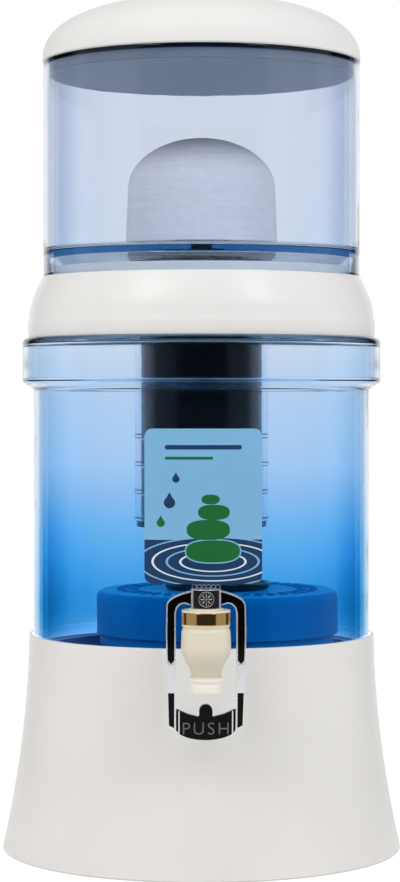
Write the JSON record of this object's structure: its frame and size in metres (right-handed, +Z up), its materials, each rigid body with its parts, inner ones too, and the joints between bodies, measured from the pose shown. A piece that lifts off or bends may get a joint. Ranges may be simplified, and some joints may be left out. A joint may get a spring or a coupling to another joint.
{
  "type": "gravity water filter",
  "caption": "Countertop gravity water filter: clear upper tank with ceramic dome, hanging cartridge, clear blue lower tank with mineral basket, push tap and flared stand.",
  "frame": {"origin": "on the tanks' axis, in the plane of the table under the stand's rim", "axes": "+Z up, with the tap on the -Y side and +X to the right of someone who faces the tap"},
  "size_m": [0.2606, 0.2973, 0.556],
  "materials": {
    "stand": "gloss",
    "stand_deck": "gloss",
    "deck_ribs": "gloss",
    "lower_tank": "clear gloss",
    "tank_collar": "clear gloss",
    "front_label": "printed film",
    "middle_ring": "gloss",
    "upper_tank": "clear gloss",
    "lid": "gloss",
    "ceramic_dome": "porous ceramic",
    "dome_base": "satin",
    "dome_washer": "matte",
    "wing_nut": "satin",
    "cartridge_cap": "satin",
    "cartridge_gasket": "matte",
    "cartridge_shell": "clear gloss",
    "cartridge_foot": "gloss",
    "carbon_bed": "granules",
    "felt_pads": "felt",
    "sand_bed": "granules",
    "zeolite_bed": "granules",
    "mineral_bed": "granules",
    "basket_body": "gloss",
    "basket_lid": "gloss",
    "basket_dish": "gloss",
    "mineral_stones": "stone",
    "tap_body": "satin",
    "tap_outer_washer": "matte",
    "tap_inner_washer": "matte",
    "tap_nut": "satin",
    "bonnet": "satin",
    "gilt_band": "polished",
    "valve_stem": "polished",
    "valve_seal": "matte",
    "valve_spring": "bright",
    "lever_frame": "polished",
    "lever_inlays": "gloss",
    "push_plate": "gloss",
    "plate_trims": "polished",
    "lever_pin": "bright",
    "head_sleeve": "gloss",
    "head_emblem": "polished",
    "crown": "polished"
  },
  "bodies": {
    "stand": {"stand": "stand", "stand_deck": "stand_deck", "deck_ribs": "deck_ribs"},
    "tank": {"lower_tank": "lower_tank", "tank_collar": "tank_collar", "front_label": "front_label", "tap_body": "tap_body", "tap_outer_washer": "tap_outer_washer", "tap_inner_washer": "tap_inner_washer", "tap_nut": "tap_nut", "bonnet": "bonnet", "gilt_band": "gilt_band", "valve_spring": "valve_spring"},
    "basket": {"basket_body": "basket_body", "mineral_stones": "mineral_stones"},
    "basket_top": {"basket_lid": "basket_lid", "basket_dish": "basket_dish"},
    "upper": {"middle_ring": "middle_ring", "upper_tank": "upper_tank", "ceramic_dome": "ceramic_dome", "dome_base": "dome_base", "dome_washer": "dome_washer", "wing_nut": "wing_nut", "cartridge_cap": "cartridge_cap", "cartridge_gasket": "cartridge_gasket", "cartridge_shell": "cartridge_shell", "cartridge_foot": "cartridge_foot", "carbon_bed": "carbon_bed", "felt_pads": "felt_pads", "sand_bed": "sand_bed", "zeolite_bed": "zeolite_bed", "mineral_bed": "mineral_bed"},
    "lid": {"lid": "lid"},
    "valve": {"valve_stem": "valve_stem", "valve_seal": "valve_seal"},
    "lever": {"lever_frame": "lever_frame", "lever_inlays": "lever_inlays", "push_plate": "push_plate", "plate_trims": "plate_trims", "lever_pin": "lever_pin", "head_sleeve": "head_sleeve", "head_emblem": "head_emblem", "crown": "crown"}
  },
  "joints": [
    {"name": "tank_lift", "type": "slide", "parent": "stand", "child": "tank", "axis": [0, 0, 1], "range_m": [0, 0.05]},
    {"name": "basket_lift", "type": "slide", "parent": "tank", "child": "basket", "axis": [0, 0, 1], "range_m": [0, 0.007]},
    {"name": "basket_lid_lift", "type": "slide", "parent": "basket", "child": "basket_top", "axis": [0, 0, 1], "range_m": [0, 0.0285]},
    {"name": "upper_lift", "type": "slide", "parent": "tank", "child": "upper", "axis": [0, 0, 1], "range_m": [0, 0.14]},
    {"name": "lid_lift", "type": "slide", "parent": "upper", "child": "lid", "axis": [0, 0, 1], "range_m": [0, 0.06]},
    {"name": "stem_lift", "type": "slide", "parent": "tank", "child": "valve", "axis": [0, 0, 1], "range_m": [0, 0.002], "deforming": ["valve_spring"]},
    {"name": "lever_push", "type": "hinge", "parent": "valve", "child": "lever", "pos_m": [0, -0.152, 0.1735], "axis": [1, 0, 0], "range_deg": [0, 11], "stiffness_Nm_per_rad": 0.3, "springref_deg": -8.59}
  ],
  "couplings": [
    {"joint": "stem_lift", "follows": "lever_push", "m_per_rad": 0.0095}
  ]
}
